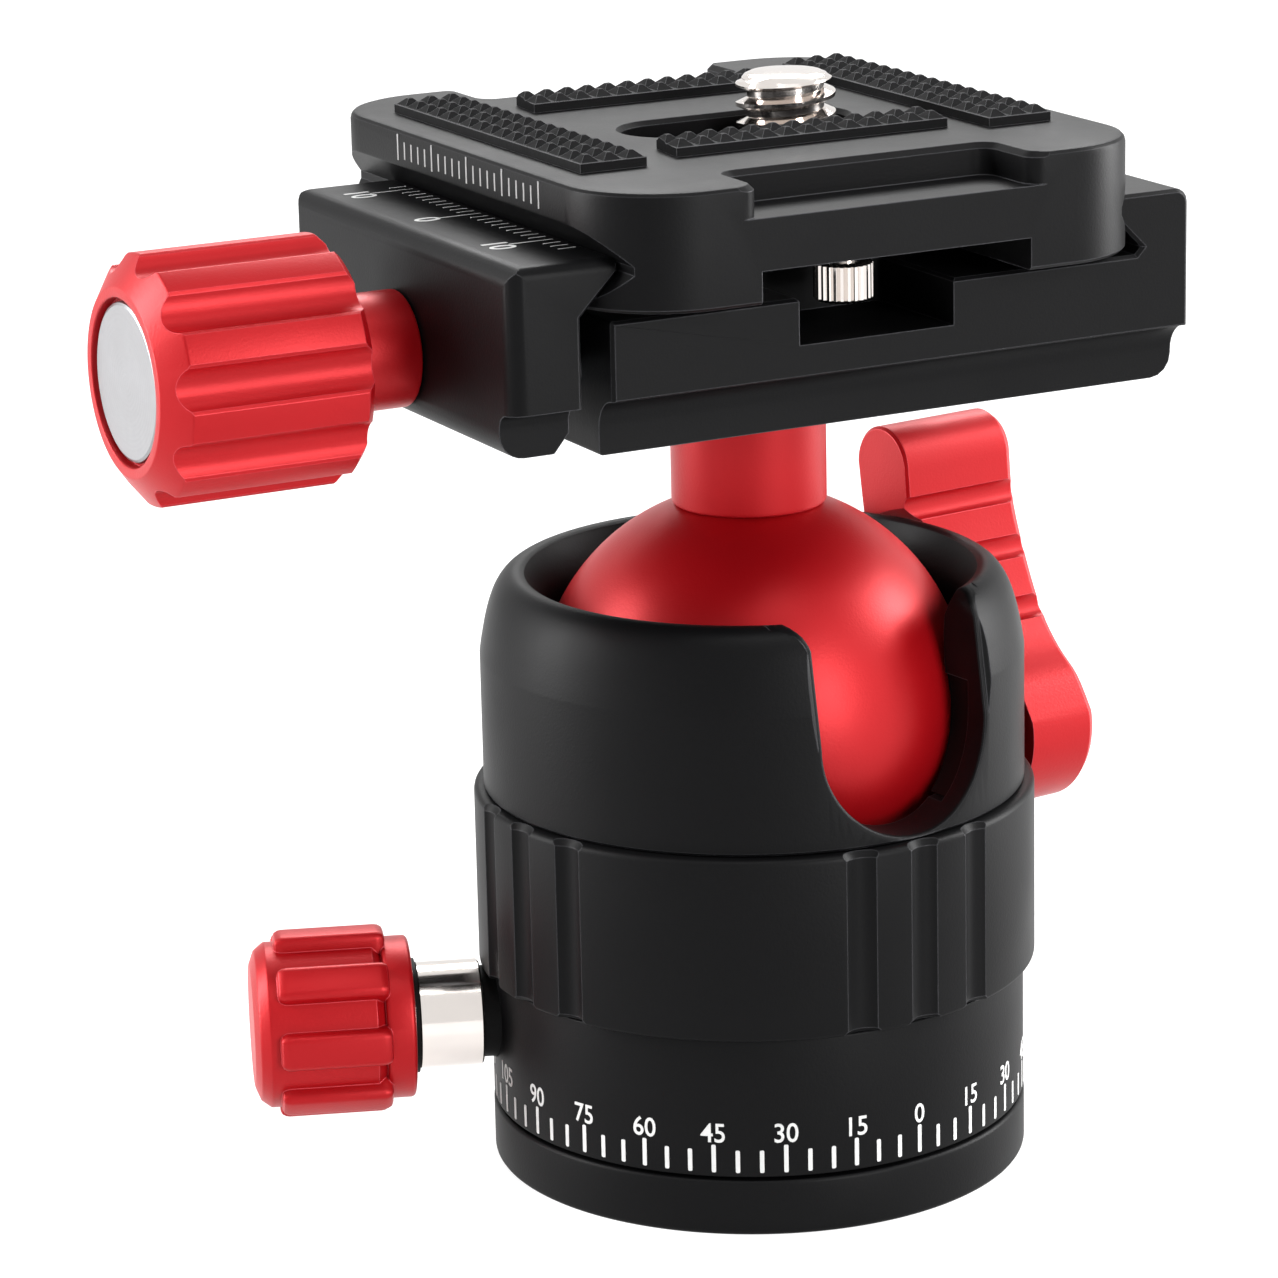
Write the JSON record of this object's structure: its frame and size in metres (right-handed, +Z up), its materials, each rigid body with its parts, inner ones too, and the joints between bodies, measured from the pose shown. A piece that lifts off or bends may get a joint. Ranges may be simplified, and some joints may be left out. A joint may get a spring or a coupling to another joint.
{
  "type": "tripod ball head",
  "caption": "Compact tripod ball head with a panning base, locking lever, drop notch and a screw clamp that holds a dovetail camera plate.",
  "frame": {"origin": "centre of the base's underside, at the mouth of the tripod thread", "axes": "+Z up along the pan axis; the clamp knob points to -X; the camera plate slides along Y; -Y is the front, where the drop notch faces"},
  "size_m": [0.067, 0.0423, 0.0709],
  "materials": {
    "black_anodised": "satin black anodised aluminium",
    "red_anodised": "satin red anodised aluminium",
    "plated_steel": "bright nickel plate",
    "steel": "machined steel",
    "spun_aluminium": "spun disc",
    "black_rubber": "moulded rubber with a pyramid pattern",
    "black_plastic": "moulded acetal",
    "white_plastic": "natural acetal",
    "brass": "turned brass"
  },
  "bodies": {
    "base": {"base_disc": "black_anodised", "base_screws": "steel", "pan_spindle": "steel", "thread_bush": "steel", "retaining_plate": "steel", "retaining_screws": "steel"},
    "pan_body": {"friction_washer": "white_plastic", "scale_body": "black_anodised", "grip_ring": "black_anodised", "housing": "black_anodised", "body_screws": "steel", "ball_liner": "black_plastic", "ball_cup": "white_plastic", "cup_spring": "steel", "lock_shoe": "white_plastic", "lever_washer": "black_plastic", "pan_brake_pad": "brass", "pan_seat_washer": "black_plastic"},
    "pan_lock": {"pan_screw": "plated_steel", "pan_knob": "red_anodised", "pan_shaft_washer": "black_plastic"},
    "lever": {"lever": "red_anodised", "lever_shaft": "steel", "lever_screw": "steel"},
    "ball": {"ball": "red_anodised"},
    "neck": {"neck": "red_anodised"},
    "clamp": {"clamp_bed": "black_anodised", "clamp_bolt": "steel", "guide_pins": "steel"},
    "jaw": {"moving_jaw": "black_anodised"},
    "clamp_knob": {"clamp_screw": "steel", "clamp_knob": "red_anodised", "knob_collar": "red_anodised", "knob_disc": "spun_aluminium"},
    "plate": {"release_plate": "black_anodised", "rubber_pads": "black_rubber", "stop_screws": "plated_steel"},
    "screw_slide": {"slot_clip": "black_plastic"},
    "camera_screw": {"camera_screw": "plated_steel"}
  },
  "joints": [
    {"name": "pan_turn", "type": "hinge", "parent": "base", "child": "pan_body", "pos_m": [0, 0, 0.0085], "axis": [0, 0, 1], "continuous": true},
    {"name": "pan_lock_turn", "type": "hinge", "parent": "pan_body", "child": "pan_lock", "pos_m": [-0.01879, 0.00684, 0.01], "axis": [-0.9397, 0.342, 0], "range_deg": [0, 360]},
    {"name": "lever_turn", "type": "hinge", "parent": "pan_body", "child": "lever", "pos_m": [0.01985, 0.00244, 0.02525], "axis": [0.9925, 0.1219, 0], "range_deg": [-70, 20]},
    {"name": "ball_roll", "type": "hinge", "parent": "pan_body", "child": "ball", "pos_m": [0, 0, 0.0303], "axis": [-0.1219, 0.9925, 0], "range_deg": [-28, 14]},
    {"name": "ball_tilt", "type": "hinge", "parent": "ball", "child": "neck", "pos_m": [0, 0, 0.0303], "axis": [0.9925, 0.1219, 0], "range_deg": [-25, 85]},
    {"name": "ball_spin", "type": "hinge", "parent": "neck", "child": "clamp", "pos_m": [0, 0, 0.0515], "axis": [0, 0, 1], "continuous": true},
    {"name": "jaw_slide", "type": "slide", "parent": "clamp", "child": "jaw", "axis": [-1, 0, 0], "range_m": [0, 0.003]},
    {"name": "clamp_knob_turn", "type": "hinge", "parent": "jaw", "child": "clamp_knob", "pos_m": [-0.0357, 0, 0.0564], "axis": [-1, 0, 0], "range_deg": [0, 1081]},
    {"name": "plate_slide", "type": "slide", "parent": "clamp", "child": "plate", "axis": [0, 1, 0], "range_m": [-0.007, 0.0033]},
    {"name": "camera_screw_slide", "type": "slide", "parent": "plate", "child": "screw_slide", "axis": [1, 0, 0], "range_m": [-0.008, 0.0007]},
    {"name": "camera_screw_turn", "type": "hinge", "parent": "screw_slide", "child": "camera_screw", "pos_m": [0.0037, 0.0011, 0.066], "axis": [0, 0, 1], "continuous": true}
  ],
  "couplings": [
    {"joint": "clamp_knob_turn", "follows": "jaw_slide", "rad_per_m": 6283.2}
  ]
}
